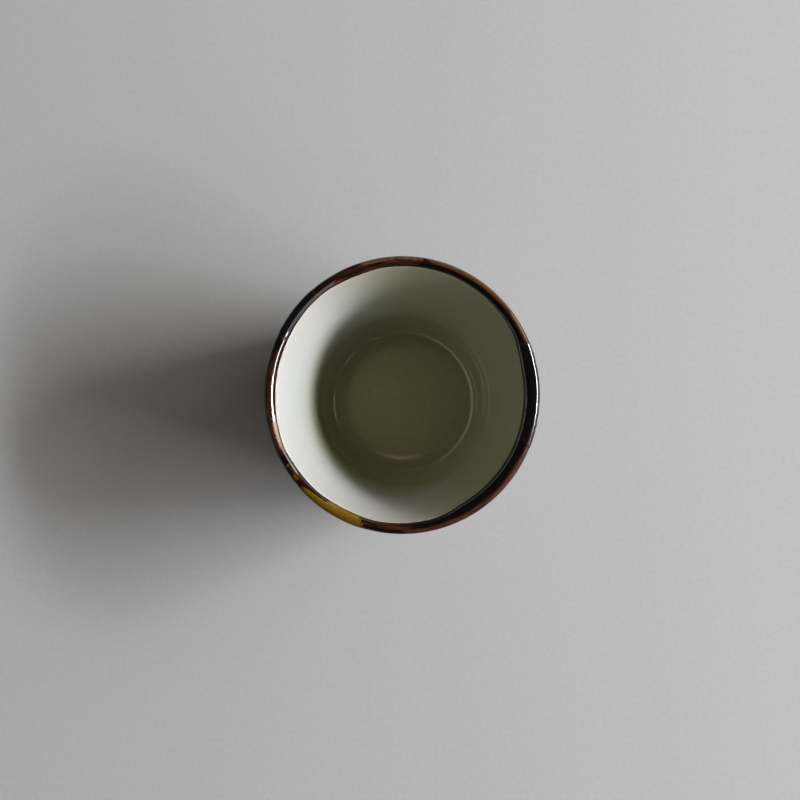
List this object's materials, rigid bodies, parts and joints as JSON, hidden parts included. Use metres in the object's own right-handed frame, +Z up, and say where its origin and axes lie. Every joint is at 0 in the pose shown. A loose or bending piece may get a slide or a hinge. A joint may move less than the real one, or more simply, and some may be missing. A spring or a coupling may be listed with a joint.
{
  "type": "soba choko cup",
  "caption": "Tapered handleless stoneware cup on a low foot ring, pale glazed inside and glossy amber-brown outside, with black and yellow glaze poured over its lip.",
  "frame": {"origin": "middle of the foot ring's standing face, on the cup's axis", "axes": "+Z up along the cup's axis, +X towards the middle of the wide black pour"},
  "size_m": [0.08, 0.0798, 0.0642],
  "materials": {
    "bare_stoneware": "matte",
    "pale_ash_glaze": "gloss",
    "amber_iron_glaze": "gloss",
    "black_iron_glaze": "gloss",
    "yellow_glaze": "gloss"
  },
  "bodies": {
    "root": {"clay_body": "bare_stoneware", "liner_glaze": "pale_ash_glaze", "foot_well_glaze": "pale_ash_glaze", "amber_glaze": "amber_iron_glaze", "black_pour_wide": "black_iron_glaze", "black_pour_narrow": "black_iron_glaze", "yellow_splash": "yellow_glaze"}
  },
  "joints": []
}
